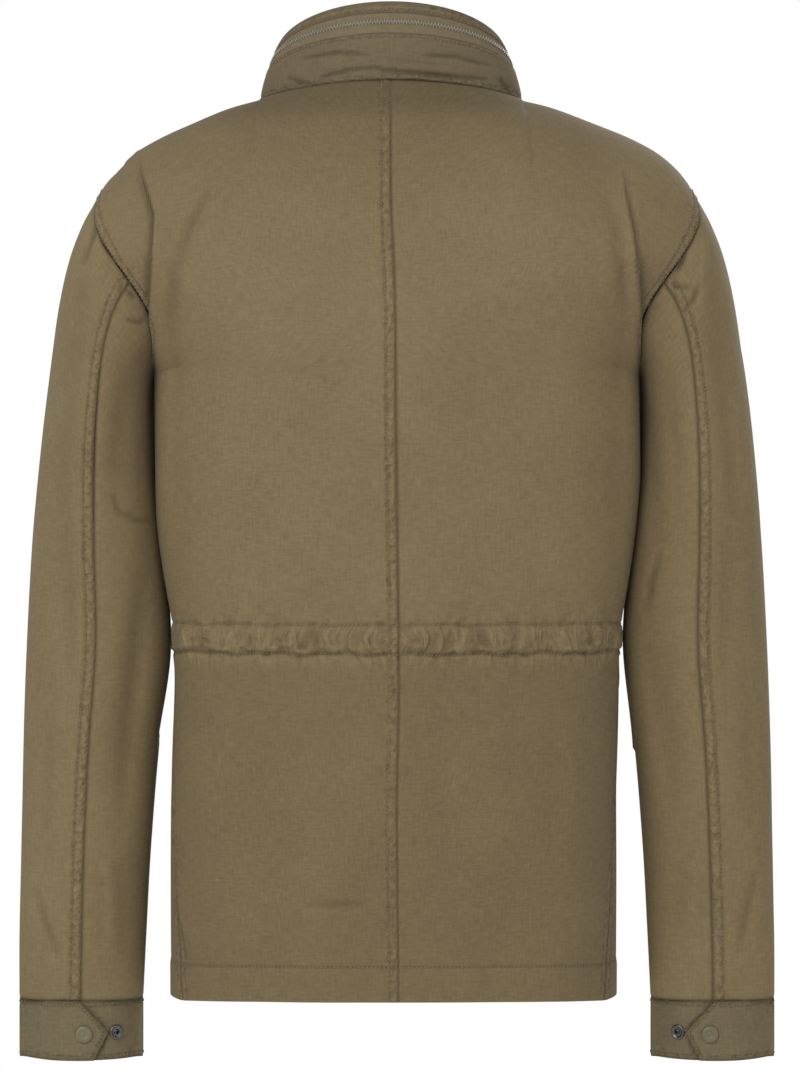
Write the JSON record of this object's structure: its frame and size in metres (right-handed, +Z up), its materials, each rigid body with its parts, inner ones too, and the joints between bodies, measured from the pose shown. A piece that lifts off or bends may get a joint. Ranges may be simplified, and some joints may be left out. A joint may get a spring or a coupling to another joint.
{
  "type": "blouson jacket, worn form",
  "caption": "Hip-length cotton jacket in its worn, hollow form, with zipped stand collar, gathered waist channel, centre back seam and snapped cuffs.",
  "frame": {"origin": "middle of the neck hole, level with the neck seam at the shoulders, where a wearer's shoulders hold the jacket up", "axes": "+Z up, the front faces -Y, +X is the wearer's left"},
  "size_m": [0.589, 0.2553, 0.8135],
  "materials": {
    "cloth": "olive cotton, matt, fine weave",
    "zip_tape": "warm olive woven tape",
    "zip_metal": "light worn metal",
    "snap_cap": "olive enamel, satin",
    "snap_metal": "bright nickel"
  },
  "bodies": {
    "root": {"back_left": "cloth", "back_right": "cloth", "front_left": "cloth", "front_right": "cloth", "sleeve_left_top": "cloth", "sleeve_left_under": "cloth", "sleeve_right_top": "cloth", "sleeve_right_under": "cloth", "cuff_left": "cloth", "cuff_right": "cloth", "cuff_left_snap_cap": "snap_cap", "cuff_left_snap_stud": "snap_metal", "cuff_right_snap_cap": "snap_cap", "cuff_right_snap_stud": "snap_metal", "collar_stand": "cloth", "collar_zip_tape": "zip_tape", "collar_top": "cloth", "front_zip_tape_left": "zip_tape", "front_zip_tape_right": "zip_tape", "front_zip_slider": "zip_metal", "collar_zip_slider": "zip_metal"},
    "front_pull": {"front_zip_pull": "zip_metal"},
    "collar_pull": {"collar_zip_pull": "zip_metal"}
  },
  "joints": [
    {"name": "front_pull_swing", "type": "hinge", "parent": "root", "child": "front_pull", "pos_m": [0.0045, -0.07932, -0.02598], "axis": [1, 0, 0], "range_deg": [-140, 0]},
    {"name": "collar_pull_swing", "type": "hinge", "parent": "root", "child": "collar_pull", "pos_m": [0.03685, -0.07724, -0.02193], "axis": [0.9639, 0.2661, 0], "range_deg": [-140, 0]}
  ]
}
